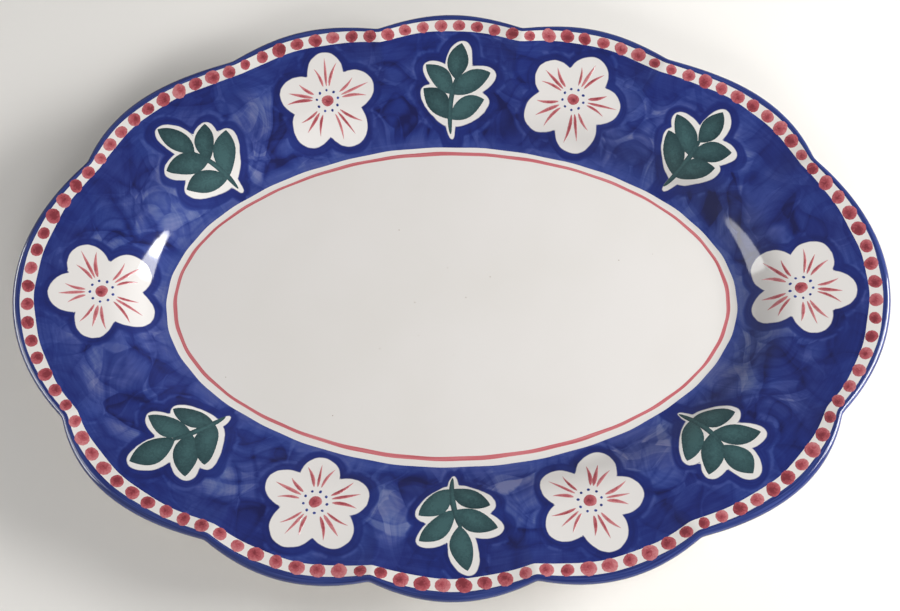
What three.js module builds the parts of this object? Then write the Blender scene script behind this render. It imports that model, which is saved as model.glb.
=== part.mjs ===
// Oval serving platter with a lobed rim: a pressed clay body on a luted foot ring, under a fired coat of glaze
// that carries a colour of its own in each zone.
// Millimetres, +Z up, origin on the table under the middle of the foot, +X along the platter's length.
import * as THREE from "three";

// Plan sizes, over the glaze
const LENGTH = 510;
const WIDTH = 368;
const WELL_LENGTH = 340;
const WELL_WIDTH = 207;

// The notches between the lobes in one quadrant: the angle from the long axis, in degrees of the oval's own
// parameter, and how deep each one cuts into the oval. The other three quadrants mirror them.
const NOTCHES = [
  { angle: 27.2, depth: 9.5 },
  { angle: 57.1, depth: 6.6 },
  { angle: 79.4, depth: 8 },
];
const NOTCH_ROUNDING = 0.06; // softens the point of a notch, as a share of a lobe's swell
const LOBE_FULLNESS = 0.9; // under 1 swells a lobe towards its notches
const OVAL_BULGE = 1.2; // how far the lip stands out of a true oval, halfway between the axes
const NOTCH_REACH = 3; // how fast a notch dies away towards the well: a power of the way across the rim
const RIDGE_HEIGHT = 1.5; // ridge that runs in from each notch, over the hollow of the lobes
const RIDGE_NARROWING = 2; // power that draws the ridge in to a crest
const RIDGE_REACH = 2; // how fast the ridge dies away towards the well

// Section sizes, cut along the long axis
const RIM_HEIGHT = 38; // table to the top of the lip, in the middle of a lobe
const FOOT_HEIGHT = 6; // table to the underside of the clay
const CLAY_THICKNESS = 5.8;
const GLAZE_THICKNESS = 0.4;
const WALL_START = 2; // from the well's edge, where the colour changes, out to the corner of floor and wall
const WALL_RUN = 23; // plan width of the steep wall, from that corner to the rim's
const WALL_SLOPE = THREE.MathUtils.degToRad(31);
const COVE_REACH = 7; // rounding between floor and wall, from the corner to where it ends
const SHOULDER_REACH = 7; // the same between wall and rim

// Colour zones of the glaze
const LINE_WIDTH = 2.5; // painted line at the edge of the flat floor
const BORDER_WIDTH = 12.5; // pale border and lip band together, in the middle of a lobe

// Foot ring
const FOOT_SETBACK = 2; // from where the floor starts to curve up, in to the ring's root
const FOOT_ROOT_WIDTH = 10;
const FOOT_TREAD_WIDTH = 6;
const BARE_FOOT = 1.2; // height of the tread that is wiped clean of glaze

// Facets
const FACET_LENGTH = 17; // at most, along the lip
const LIP_STEPS = 4;

// Sizes that follow
const HALF_LENGTH = LENGTH / 2;
const HALF_WIDTH = WIDTH / 2;
const WELL_R = WELL_LENGTH / 2;
const WELL_HALF_WIDTH = WELL_WIDTH / 2;
const RIM_RUN = HALF_LENGTH - WELL_R;
const THICKNESS = CLAY_THICKNESS + 2 * GLAZE_THICKNESS;
const FLOOR_HEIGHT = FOOT_HEIGHT + CLAY_THICKNESS + GLAZE_THICKNESS;
const FOOT_R = WELL_R + WALL_START - COVE_REACH - FOOT_SETBACK - FOOT_ROOT_WIDTH / 2;
const CORE_R = FOOT_R - FOOT_ROOT_WIDTH; // inside this the plan only shrinks towards the middle

// The lip is a half round over the edge, and the rim runs straight from the wall's top to its crown.
const LIP_R = THICKNESS / 2;
const LIP_CENTRE = new THREE.Vector2(HALF_LENGTH - LIP_R, RIM_HEIGHT - LIP_R);
const WELL_CORNER = new THREE.Vector2(WELL_R + WALL_START, FLOOR_HEIGHT);
const SHOULDER_CORNER = WELL_CORNER.clone().add(
  new THREE.Vector2(WALL_RUN, WALL_RUN * Math.tan(WALL_SLOPE)),
);
const SHOULDER_TO_LIP = LIP_CENTRE.clone().sub(SHOULDER_CORNER);
const RIM_SLOPE = SHOULDER_TO_LIP.angle() + Math.asin(LIP_R / SHOULDER_TO_LIP.length());

// Direction of a section line that climbs outwards at a slope, and its downward normal.
function along(slope) {
  return new THREE.Vector2(Math.cos(slope), Math.sin(slope));
}

function under(slope) {
  return new THREE.Vector2(Math.sin(slope), -Math.cos(slope));
}

// A corner moved away from its two lines by a distance, along their normals.
function offsetCorner(corner, normalA, normalB, distance) {
  const sum = normalA.clone().add(normalB);
  return corner.clone().addScaledVector(sum, distance / (1 + normalA.dot(normalB)));
}

// The rounding at a corner in three steps, going outwards.
function rounding(corner, slopeIn, slopeOut, reach) {
  const start = corner.clone().addScaledVector(along(slopeIn), -reach);
  const end = corner.clone().addScaledVector(along(slopeOut), reach);
  return new THREE.QuadraticBezierCurve(start, corner, end).getPoints(3);
}

// One side of the foot, from its root to the line where the glaze stops, `coat` outside the clay.
// `side` is +1 outside the ring and -1 inside it.
function footSide(side, coat) {
  const root = new THREE.Vector2(FOOT_R + (side * FOOT_ROOT_WIDTH) / 2, FOOT_HEIGHT);
  const tread = new THREE.Vector2(FOOT_R + (side * FOOT_TREAD_WIDTH) / 2, 0);
  const down = tread.clone().sub(root).normalize();
  const normal = new THREE.Vector2(-down.y * side, down.x * side);
  const glazeLine = root.clone().lerp(tread, 1 - BARE_FOOT / FOOT_HEIGHT);
  return [offsetCorner(root, under(0), normal, coat), glazeLine.addScaledVector(normal, coat)];
}

// The section of the surface that lies `depth` under the glaze, as named points from the middle of the well,
// over the lip and back under to the middle of the base.
function section(depth) {
  const lower = THICKNESS - depth;
  const flat = under(0);
  const wall = under(WALL_SLOPE);
  const rim = under(RIM_SLOPE);
  const wellCorner = offsetCorner(WELL_CORNER, flat, wall, depth);
  const shoulderCorner = offsetCorner(SHOULDER_CORNER, wall, rim, depth);
  const [coveStart, wellEdge, coveRise, coveEnd] = rounding(wellCorner, 0, WALL_SLOPE, COVE_REACH);
  const [shoulderStart, shoulderRise, shoulderFall, shoulderEnd] = rounding(
    shoulderCorner, WALL_SLOPE, RIM_SLOPE, SHOULDER_REACH,
  );

  const lip = new THREE.EllipseCurve(
    LIP_CENTRE.x, LIP_CENTRE.y, LIP_R - depth, LIP_R - depth,
    RIM_SLOPE + Math.PI / 2, RIM_SLOPE - Math.PI / 2, true,
  ).getPoints(LIP_STEPS);
  const lipTop = lip[0];
  const borderShare = (HALF_LENGTH - BORDER_WIDTH - shoulderEnd.x) / (lipTop.x - shoulderEnd.x);
  const borderInner = shoulderEnd.clone().lerp(lipTop, borderShare);

  const wellCornerUnder = offsetCorner(WELL_CORNER, flat, wall, lower);
  const shoulderCornerUnder = offsetCorner(SHOULDER_CORNER, wall, rim, lower);
  const [coveUnderStart, , , coveUnderEnd] = rounding(wellCornerUnder, 0, WALL_SLOPE, COVE_REACH);
  const [shoulderUnderStart, , , shoulderUnderEnd] = rounding(
    shoulderCornerUnder, WALL_SLOPE, RIM_SLOPE, SHOULDER_REACH,
  );
  const [footOuterRoot, footOuterLine] = footSide(1, GLAZE_THICKNESS - depth);
  const [footInnerRoot, footInnerLine] = footSide(-1, GLAZE_THICKNESS - depth);

  return {
    centre: new THREE.Vector2(0, FLOOR_HEIGHT - depth),
    lineInner: new THREE.Vector2(coveStart.x - LINE_WIDTH, FLOOR_HEIGHT - depth),
    coveStart,
    wellEdge,
    coveRise,
    coveEnd,
    shoulderStart,
    shoulderRise,
    shoulderFall,
    shoulderEnd,
    rimMiddle: shoulderEnd.clone().add(borderInner).divideScalar(2),
    borderInner,
    ...Object.fromEntries(lip.map((point, step) => ["lip" + step, point])),
    shoulderUnderEnd,
    shoulderUnderStart,
    coveUnderEnd,
    coveUnderStart,
    footOuterRoot,
    footOuterLine,
    footInnerLine,
    footInnerRoot,
    baseCentre: new THREE.Vector2(0, FLOOR_HEIGHT - lower),
  };
}

const GLAZE = section(0);
const CLAY = section(GLAZE_THICKNESS);
const LIP_TOP = "lip0";
const LIP_UNDER = "lip" + LIP_STEPS;

// The points of a section between two of its names, both included.
function stretch(points, from, to) {
  const names = Object.keys(points);
  return names.slice(names.indexOf(from), names.indexOf(to) + 1).map((name) => points[name]);
}

// Every notch round the platter, by angle, as quadrants that mirror the first.
function allNotches() {
  const half = [...NOTCHES, ...NOTCHES.map(({ angle, depth }) => ({ angle: 180 - angle, depth })).reverse()];
  const full = [...half, ...half.map(({ angle, depth }) => ({ angle: angle + 180, depth }))];
  return full.map(({ angle, depth }) => ({ angle: THREE.MathUtils.degToRad(angle), depth }));
}

// A point of the oval that lies a share of the way from the well's edge to the lip.
function ovalPoint(angle, share) {
  return new THREE.Vector2(
    THREE.MathUtils.lerp(WELL_R, HALF_LENGTH, share) * Math.cos(angle),
    THREE.MathUtils.lerp(WELL_HALF_WIDTH, HALF_WIDTH, share) * Math.sin(angle),
  );
}

// A lobe's swell, 0 in the notch at either end of it and 1 in its middle.
function lobeSwell(share) {
  const round = (sine) => Math.hypot(sine, NOTCH_ROUNDING) - NOTCH_ROUNDING;
  return Math.pow(round(Math.sin(Math.PI * share)) / round(1), LOBE_FULLNESS);
}

// The meridians that the sections are swept through, in equal steps within each lobe.
function makeMeridians() {
  const notches = allNotches();
  return notches.flatMap((start, index) => {
    const next = notches[(index + 1) % notches.length];
    const end = { angle: next.angle + (index + 1 === notches.length ? 2 * Math.PI : 0), depth: next.depth };
    const chord = ovalPoint(start.angle, 1).distanceTo(ovalPoint(end.angle, 1));
    const steps = 2 * Math.ceil(chord / 2 / FACET_LENGTH); // even, so that one lies in the lobe's middle
    return Array.from({ length: steps }, (_, step) => {
      const share = step / steps;
      const hollow = 1 - lobeSwell(share);
      const angle = THREE.MathUtils.lerp(start.angle, end.angle, share);
      const bulge = OVAL_BULGE * Math.sin(2 * angle) ** 2;
      return {
        angle,
        cut: hollow * THREE.MathUtils.lerp(start.depth, end.depth, share) - bulge,
        ridge: RIDGE_HEIGHT * Math.pow(hollow, RIDGE_NARROWING),
      };
    });
  });
}

const MERIDIANS = makeMeridians();

// Moves a point of the long-axis section to one meridian of the lobed oval.
function ontoOval(radius, height, { angle, cut, ridge }) {
  const share = (Math.max(radius, CORE_R) - WELL_R) / RIM_RUN;
  const acrossRim = Math.max(share, 0);
  const outwards = ovalPoint(angle, 1).sub(ovalPoint(angle, 0)).normalize();
  const plan = ovalPoint(angle, share)
    .addScaledVector(outwards, -cut * Math.pow(acrossRim, NOTCH_REACH))
    .multiplyScalar(Math.min(radius / CORE_R, 1));
  return new THREE.Vector3(plan.x, plan.y, height + ridge * Math.pow(acrossRim, RIDGE_REACH));
}

// The faces between neighbouring meridians. Each four-sided face splits along the same diagonal whichever way
// the section runs, so that two pieces that meet share their triangles.
function splitFaces(points) {
  const index = [];
  for (let meridian = 0; meridian < MERIDIANS.length; meridian++) {
    for (let i = 0; i + 1 < points.length; i++) {
      const here = meridian * points.length + i;
      const next = here + points.length;
      const step = points[i + 1].clone().sub(points[i]);
      const outwards = (step.x || step.y) > 0;
      index.push(...(outwards
        ? [here, next, here + 1, next + 1, here + 1, next]
        : [here, next, next + 1, here, next + 1, here + 1]));
    }
  }
  return index;
}

// A closed section turned on the lathe, then pressed from round to the lobed oval.
function turnedAndPressed(points) {
  const geometry = new THREE.LatheGeometry(points, MERIDIANS.length);
  geometry.setIndex(splitFaces(points));
  const position = geometry.getAttribute("position");
  for (let i = 0; i < position.count; i++) {
    const meridian = Math.floor(i / points.length) % MERIDIANS.length;
    const { x, y } = points[i % points.length];
    position.setXYZ(i, ...ontoOval(x, y, MERIDIANS[meridian]));
  }
  geometry.computeVertexNormals();
  return geometry;
}

// Materials
const bareClay = new THREE.MeshStandardMaterial({ color: 0xb9825f, roughness: 0.85, metalness: 0 });
const glazeOf = (color) => new THREE.MeshStandardMaterial({ color, roughness: 0.12, metalness: 0 });
const whiteGlaze = glazeOf(0xe6e2dc);
const blueGlaze = glazeOf(0x22357f);
const redGlaze = glazeOf(0xc2525c);

const platter = new THREE.Group();
platter.name = "oval_serving_platter";

function addPiece(name, points, material) {
  const mesh = new THREE.Mesh(turnedAndPressed(points), material);
  mesh.name = name;
  platter.add(mesh);
}

// Clay: the pressed dish, and the ring luted under it
const dish = [...stretch(CLAY, "centre", "footOuterRoot"), CLAY.footInnerRoot, CLAY.baseCentre];
addPiece("clay_body", dish.reverse(), bareClay);

const treadInner = new THREE.Vector2(FOOT_R - FOOT_TREAD_WIDTH / 2, 0);
const treadOuter = new THREE.Vector2(FOOT_R + FOOT_TREAD_WIDTH / 2, 0);
const ring = [
  CLAY.footInnerRoot, CLAY.footOuterRoot, CLAY.footOuterLine,
  treadOuter, treadInner,
  CLAY.footInnerLine, CLAY.footInnerRoot,
];
addPiece("foot_ring", ring.reverse(), bareClay);

// Glaze: one coat, in zones that meet edge to edge. A zone that starts on the axis stays open there.
function addCoat(name, from, to, material) {
  const outside = stretch(GLAZE, from, to);
  const inside = stretch(CLAY, from, to).reverse();
  const loop = [...inside, ...outside];
  const onAxis = loop.findIndex((point, i) => point.x === 0 && loop[(i + 1) % loop.length].x === 0);
  const closed = onAxis < 0
    ? [...loop, loop[0]]
    : [...loop.slice(onAxis + 1), ...loop.slice(0, onAxis + 1)];
  addPiece(name, closed.reverse(), material);
}

addCoat("well_glaze", "centre", "lineInner", whiteGlaze);
addCoat("well_line", "lineInner", "coveStart", redGlaze);
addCoat("well_margin", "coveStart", "wellEdge", whiteGlaze);
addCoat("rim_ground", "wellEdge", "borderInner", blueGlaze);
addCoat("rim_border", "borderInner", LIP_TOP, whiteGlaze);
addCoat("lip_band", LIP_TOP, LIP_UNDER, blueGlaze);
addCoat("back_glaze", LIP_UNDER, "footOuterLine", whiteGlaze);
addCoat("base_glaze", "footInnerLine", "baseCentre", whiteGlaze);

export default platter;
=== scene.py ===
"""Looks of an oval serving platter with a lobed rim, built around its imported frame.

The platter is glazed earthenware, painted by hand: a white well inside a red line, a brushed blue rim in
which blossoms and leaf sprigs are left white, and a white border of red dabs under a blue lip.
"""

from __future__ import annotations

import logging
import math
import random
from collections.abc import Iterable, Sequence
from dataclasses import dataclass, field
from enum import Enum
from functools import cached_property
from typing import Any

import bmesh
import bpy
import numpy as np
from mathutils import Matrix, Vector
from mathutils.bvhtree import BVHTree

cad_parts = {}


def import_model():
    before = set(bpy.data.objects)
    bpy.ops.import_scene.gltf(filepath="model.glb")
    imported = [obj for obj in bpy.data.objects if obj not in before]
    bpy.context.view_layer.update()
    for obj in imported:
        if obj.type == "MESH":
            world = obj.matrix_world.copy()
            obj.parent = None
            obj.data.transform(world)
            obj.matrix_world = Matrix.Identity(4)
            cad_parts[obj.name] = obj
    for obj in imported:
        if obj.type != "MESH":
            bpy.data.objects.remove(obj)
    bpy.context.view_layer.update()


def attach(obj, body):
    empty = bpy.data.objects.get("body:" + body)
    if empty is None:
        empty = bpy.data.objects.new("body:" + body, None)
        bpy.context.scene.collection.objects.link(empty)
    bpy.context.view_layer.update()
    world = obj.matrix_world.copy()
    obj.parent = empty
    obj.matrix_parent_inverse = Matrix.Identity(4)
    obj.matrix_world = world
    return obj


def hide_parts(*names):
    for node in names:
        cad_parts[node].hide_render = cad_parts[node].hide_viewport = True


Tree = bpy.types.NodeTree
Socket = bpy.types.NodeSocket
Material = bpy.types.Material
BMesh = bmesh.types.BMesh
Colour = tuple[float, float, float, float]
Range = tuple[float, float]
Stops = tuple[tuple[float, str], ...]

LOG = logging.getLogger("platter")
MM = 0.001
BODY = "root"
ACROSS = "across_mm"  # vertex layer: how far a point lies outside the edge of the well
RESERVE = "reserve_mm"  # vertex layer: how far it lies from the nearest white figure, negative inside
SHADE = "shade"  # vertex layer: how dense one brush mark is
MARK_MAP = "mark"  # a brush mark's own map, along it and across it
BAKE_MAP = "OFBake"  # the map in which the painted ground is laid flat for baking
CREASE = math.radians(35)
MARK_CREASE = math.radians(10)  # a brush mark is so thin that its sides meet at a shallow angle
WELD = MM / 1000  # vertices nearer than this are one
CROWD = 0.3 * MM  # rings of the section nearer than this to the end of a field are left out
CROWD_SHARE = 1 / 8  # but on a narrow field only those within this share of it
MIX_FACTOR, MIX_A, MIX_B, MIX_RESULT = 0, 6, 7, 2  # the colour sockets of a Mix node
MIX_VALUE_A, MIX_VALUE_B = 2, 3  # its sockets for plain values


class Zone(Enum):
    """The fields of the glaze, each with the name of its solid."""

    WELL = "well_glaze"
    LINE = "well_line"
    MARGIN = "well_margin"
    GROUND = "rim_ground"
    BORDER = "rim_border"
    LIP = "lip_band"
    BACK = "back_glaze"
    BASE = "base_glaze"


class Slot(Enum):
    """Names of the platter's finishes."""

    CLAY = "fired_clay"
    WHITE = "white_glaze"
    BLUE = "blue_glaze"
    RED = "red_glaze"
    GREEN = "green_glaze"


def linear(hex_colour: str) -> Colour:
    """Turns an sRGB hex colour to linear.

    Args:
        hex_colour: six hex digits after a hash.

    Returns:
        Red, green, blue and alpha.
    """
    channels = [int(hex_colour[i : i + 2], 16) / 255 for i in (1, 3, 5)]
    parts = [c / 12.92 if c <= 0.04045 else ((c + 0.055) / 1.055) ** 2.4 for c in channels]
    return (*parts, 1.0)


def linear_stops(stops: Iterable[tuple[float, str]]) -> list[tuple[float, Colour]]:
    """Returns the stops of a ramp with their hex colours turned to linear."""
    return [(place, linear(colour)) for place, colour in stops]


def add_node(
    tree: Tree,
    kind: str,
    inputs: dict[str | int, Any] | None = None,
    out: str | int = 0,
    stops: Iterable[tuple[float, Colour]] = (),
    **settings: Any,
) -> Socket:
    """Adds a node with its settings and links.

    Args:
        tree: the nodes of a material or of the surround.
        kind: the node's type, without its prefix.
        inputs: a value or an output socket for each input.
        out: the name or the number of the output that is wanted.
        stops: the places and the colours of a ramp.
        settings: the node's own properties.

    Returns:
        The output that is wanted.
    """
    node = tree.nodes.new("ShaderNode" + kind)
    for name, value in settings.items():
        setattr(node, name, value)
    for key, value in (inputs or {}).items():
        if isinstance(value, Socket):
            tree.links.new(value, node.inputs[key])
        else:
            node.inputs[key].default_value = value
    for index, (place, colour) in enumerate(stops):
        elements = node.color_ramp.elements
        element = elements[index] if index < len(elements) else elements.new(place)
        element.position = place
        element.color = colour
    return node.outputs[out]


def polar(length: float, angle: float) -> Vector:
    """Returns the plan vector of a length and an angle."""
    return Vector((math.cos(angle), math.sin(angle))) * length


@dataclass(frozen=True)
class Notch:
    """A notch between two lobes: its angle in the oval's own parameter, and how deep it cuts."""

    angle: float
    depth: float


@dataclass(frozen=True)
class Meridians:
    """What the press does to the round section at a row of angles."""

    angle: np.ndarray
    cut: np.ndarray
    ridge: np.ndarray

    def picked(self, rows: np.ndarray) -> Meridians:
        """Returns the meridians of some rows."""
        return Meridians(self.angle[rows], self.cut[rows], self.ridge[rows])


@dataclass(frozen=True)
class SectionPoint:
    """A point of the glaze's section along the long axis, with the slope of the section there."""

    radius: float
    height: float
    slope: float

    @classmethod
    def at(cls, place: Vector, slope: float) -> SectionPoint:
        """Returns the point at a place in the section."""
        return cls(place.x, place.y, slope)

    @property
    def place(self) -> Vector:
        """The point as a vector in the section."""
        return Vector((self.radius, self.height))

    def sunk(self, depth: float) -> SectionPoint:
        """Returns the point that lies a depth under this one, square to the glaze."""
        place = self.place + Vector((math.sin(self.slope), -math.cos(self.slope))) * depth
        return SectionPoint(max(place.x, 0.0), place.y, self.slope)


@dataclass(frozen=True)
class PaintedEdge:
    """The edge where a painted field starts, which strays as a hand-held brush does; sizes in metres."""

    zone: Zone
    seed: int
    stray: float
    reach: float = 1.6 * MM  # how far from the edge the glaze still follows it
    lean: float = 0.0  # how much further in it runs on the far side
    waist: float = 0.0  # how much further in it runs on both long sides
    sways: tuple[int, ...] = (4, 7, 16, 37)  # how many times it strays to and fro on the way round

    def shift(self, start: SectionPoint, radius: np.ndarray, angle: np.ndarray) -> np.ndarray:
        """Works out how far the edge pulls points of the section outwards and upwards.

        Args:
            start: where the field starts in the section.
            radius: where the points lie in the section.
            angle: where they lie round the platter.

        Returns:
            A row of radii and a row of heights.
        """
        near = np.exp(-(((radius - start.radius) / self.reach) ** 2))
        pull = self.stray * sum(np.sin(waves * angle + self.seed * waves) for waves in self.sways) / 2
        pull -= self.lean * np.maximum(np.sin(angle), 0)
        pull -= self.waist * np.sin(angle) ** 2
        return np.outer((math.cos(start.slope), math.sin(start.slope)), pull * near)


def line_points(start: Vector, end: Vector, slope: float, gap: float) -> list[SectionPoint]:
    """Spaces points evenly along a straight stretch.

    Args:
        start: its first point.
        end: its last point.
        slope: the way it runs.
        gap: the most that may lie between two points.

    Returns:
        The points, both ends included.
    """
    count = max(1, math.ceil((end - start).length / gap))
    return [SectionPoint.at(start.lerp(end, i / count), slope) for i in range(count + 1)]


def bend_points(corner: Vector, ways: Range, reach: float, gap: float) -> list[SectionPoint]:
    """Rounds a corner.

    Args:
        corner: where the two straight lines would meet.
        ways: the slopes of the lines before it and after it.
        reach: the length that the rounding takes of each line.
        gap: about what lies between two points.

    Returns:
        An odd number of points from the start of the rounding to its end.
    """
    slope_in, slope_out = ways
    start = corner - polar(1, slope_in) * reach
    end = corner + polar(1, slope_out) * reach
    count = 2 * math.ceil(reach / gap)
    points = []
    for share in (i / count for i in range(count + 1)):
        place = start.lerp(corner, share).lerp(corner.lerp(end, share), share)
        points.append(SectionPoint.at(place, slope_in + (slope_out - slope_in) * share))
    return points


def stretch(points: Sequence[SectionPoint], start: float, end: float) -> list[SectionPoint]:
    """Cuts the part of an outward section between two radii.

    Args:
        points: the whole section.
        start: its inner radius.
        end: its outer radius.

    Returns:
        A point at each radius and those between, but for any that crowd the ends.
    """
    radii, heights, slopes = np.array([(point.radius, point.height, point.slope) for point in points]).T
    first, last = (
        SectionPoint(cut, float(np.interp(cut, radii, heights)), float(np.interp(cut, radii, slopes)))
        for cut in (start, end)
    )
    crowd = min(CROWD, (end - start) * CROWD_SHARE)
    return [first, *(point for point in points if start + crowd < point.radius < end - crowd), last]


def thinned(points: Sequence[SectionPoint], keep: int) -> list[SectionPoint]:
    """Returns every keep-th point, and the last, for a surface that nothing shows."""
    return [*points[:-1:keep], points[-1]]


@dataclass
class PlatterForm:
    """The lobed oval that every layer of the platter follows, with sizes in metres."""

    half_length: float = 254.9 * MM  # a hair inside the solids, whose lip is faceted
    half_width: float = 183.9 * MM
    well_half_length: float = 170 * MM
    well_half_width: float = 103.5 * MM
    rim_height: float = 38 * MM
    foot_height: float = 6 * MM
    thickness: float = 6.6 * MM
    glaze: float = 0.4 * MM
    wall_start: float = 3.5 * MM
    wall_run: float = 20 * MM
    wall_slope: float = math.radians(34.5)
    cove_reach: float = 10 * MM
    shoulder_reach: float = 10 * MM
    line_outside: float = 165.8 * MM
    line_width: float = 2.05 * MM
    border_width: float = 13 * MM
    lip_overlap: float = 1.3 * MM  # how far the lip's colour runs down the rim from the crown
    foot_radius: float = 158 * MM
    foot_root: float = 10 * MM
    foot_tread: float = 6 * MM
    bare_foot: float = 1.2 * MM
    tread_rounding: float = 0.8 * MM
    notch_degrees: tuple[float, ...] = (27.2, 57.1, 79.4)
    notch_depths: tuple[float, ...] = (9.5 * MM, 6.6 * MM, 8 * MM)
    notch_rounding: float = 0.06
    lobe_fullness: float = 0.9
    oval_bulge: float = 1.2 * MM  # how far the lip stands out of a true oval, halfway between the axes
    notch_reach: float = 3
    ridge_height: float = 1.35 * MM
    ridge_narrowing: float = 2
    ridge_reach: float = 2
    well_squeeze: float = 1.6 * MM  # the hand-cut well lies this far inside a true oval between the axes
    squeeze_reach: float = 14 * MM
    steps_per_lobe: int = 72
    ring_gap: float = 1.5 * MM
    floor_gap: float = 18 * MM
    painted_edges: tuple[PaintedEdge, ...] = (
        PaintedEdge(Zone.LINE, 1, 0.22 * MM, waist=0.75 * MM),
        PaintedEdge(Zone.MARGIN, 2, 0.22 * MM),
        PaintedEdge(Zone.GROUND, 3, 0.3 * MM, reach=3 * MM, lean=1.3 * MM),
        PaintedEdge(Zone.BORDER, 4, 0.5 * MM, reach=3 * MM),
        PaintedEdge(Zone.LIP, 5, 0.3 * MM, reach=0.8 * MM),
    )

    @cached_property
    def notches(self) -> list[Notch]:
        """Every notch round the platter: one quadrant's, mirrored to the other three."""
        quadrant = list(zip(self.notch_degrees, self.notch_depths))
        half = quadrant + [(180 - degrees, depth) for degrees, depth in reversed(quadrant)]
        full = half + [(180 + degrees, depth) for degrees, depth in half]
        return [Notch(math.radians(degrees), depth) for degrees, depth in full]

    def lobe(self, index: int) -> tuple[Notch, Notch]:
        """Finds the notches of a lobe.

        Args:
            index: the lobe's number, counted round from the first notch.

        Returns:
            The notches where it starts and ends, in rising angles.
        """
        start = self.notches[index]
        end = self.notches[(index + 1) % len(self.notches)]
        turn = math.tau if end.angle < start.angle else 0.0
        return start, Notch(end.angle + turn, end.depth)

    def in_lobe(self, index: int, shares: np.ndarray) -> Meridians:
        """Works out meridians of a lobe.

        Args:
            index: the lobe's number.
            shares: how far along the lobe each meridian lies, from 0 to 1.

        Returns:
            The meridians.
        """
        start, end = self.lobe(index)
        crest = math.hypot(1, self.notch_rounding) - self.notch_rounding
        sine = np.hypot(np.sin(np.pi * shares), self.notch_rounding) - self.notch_rounding
        hollow = 1 - (sine / crest) ** self.lobe_fullness
        angle = start.angle + (end.angle - start.angle) * shares
        bulge = self.oval_bulge * np.sin(2 * angle) ** 2
        cut = hollow * (start.depth + (end.depth - start.depth) * shares) - bulge
        return Meridians(angle, cut, self.ridge_height * hollow**self.ridge_narrowing)

    @cached_property
    def meridians(self) -> Meridians:
        """The meridians of the meshes, in equal steps within each lobe."""
        shares = np.arange(self.steps_per_lobe) / self.steps_per_lobe
        lobes = [self.in_lobe(index, shares) for index in range(len(self.notches))]
        return Meridians(
            np.concatenate([lobe.angle for lobe in lobes]),
            np.concatenate([lobe.cut for lobe in lobes]),
            np.concatenate([lobe.ridge for lobe in lobes]),
        )

    @property
    def floor_height(self) -> float:
        """Height of the well's floor, over the glaze."""
        return self.foot_height + self.thickness - self.glaze

    @property
    def rim_run(self) -> float:
        """Width of the wall and the rim along the long axis."""
        return self.half_length - self.well_half_length

    @property
    def core_radius(self) -> float:
        """Inside this the plan only shrinks towards the middle."""
        return self.foot_radius - self.foot_root

    def oval(self, angle: np.ndarray, share: np.ndarray | float) -> np.ndarray:
        """Sets out the plan before the lobes are pressed.

        Args:
            angle: where the points lie round the platter.
            share: how far they lie on the way from the well's edge to the lip.

        Returns:
            A row of places along the platter and a row across it.
        """
        long = self.well_half_length + self.rim_run * share
        short = self.well_half_width + (self.half_width - self.well_half_width) * share
        return np.stack((long * np.cos(angle), short * np.sin(angle)))

    def turn(self, place: Vector) -> float:
        """Returns about how far round the oval a point of the rim lies, from 0 to 1."""
        angle = math.atan2(place.y * self.half_length, place.x * self.half_width)
        return angle / math.tau % 1

    def press(self, radius: np.ndarray, height: np.ndarray, ring: Meridians) -> np.ndarray:
        """Moves points of the long-axis section to meridians of the lobed oval.

        Args:
            radius: the points' places on the long axis.
            height: their heights.
            ring: the meridian of each.

        Returns:
            One row for each point on the platter.
        """
        near_well = np.exp(-(((radius - self.well_half_length) / self.squeeze_reach) ** 2))
        drawn_in = radius - self.well_squeeze * np.sin(2 * ring.angle) ** 2 * near_well
        share = (np.maximum(drawn_in, self.core_radius) - self.well_half_length) / self.rim_run
        across = np.maximum(share, 0)
        outwards = self.oval(ring.angle, 1) - self.oval(ring.angle, 0)
        outwards /= np.linalg.norm(outwards, axis=0)
        plan = self.oval(ring.angle, share) - outwards * ring.cut * across**self.notch_reach
        plan *= np.minimum(radius / self.core_radius, 1)
        return np.column_stack((*plan, height + ring.ridge * across**self.ridge_reach))

    @cached_property
    def lip_radius(self) -> float:
        """Radius of the half-round lip."""
        return self.thickness / 2

    @cached_property
    def lip_centre(self) -> Vector:
        """Centre of the half-round lip in the section."""
        return Vector((self.half_length - self.lip_radius, self.rim_height - self.lip_radius))

    @cached_property
    def well_corner(self) -> Vector:
        """Corner between the floor and the wall in the section."""
        return Vector((self.well_half_length + self.wall_start, self.floor_height))

    @cached_property
    def shoulder_corner(self) -> Vector:
        """Corner between the wall and the rim in the section."""
        return self.well_corner + Vector((1, math.tan(self.wall_slope))) * self.wall_run

    @cached_property
    def rim_slope(self) -> float:
        """Slope of the straight rim, which touches the crown of the lip."""
        run = self.lip_centre - self.shoulder_corner
        return math.atan2(run.y, run.x) + math.asin(self.lip_radius / run.length)

    @cached_property
    def foot_lean(self) -> float:
        """How far the sides of the foot lean from upright."""
        return math.atan2((self.foot_root - self.foot_tread) / 2, self.foot_height)

    @cached_property
    def lip_points(self) -> list[SectionPoint]:
        """The half-round lip, from its crown to its underside."""
        steps = math.ceil(math.pi * self.lip_radius / self.ring_gap) * 2
        slopes = [self.rim_slope - math.pi * i / steps for i in range(steps + 1)]
        normals = [Vector((-math.sin(slope), math.cos(slope))) for slope in slopes]
        places = [self.lip_centre + normal * self.lip_radius for normal in normals]
        return [SectionPoint.at(place, slope) for place, slope in zip(places, slopes)]

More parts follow.
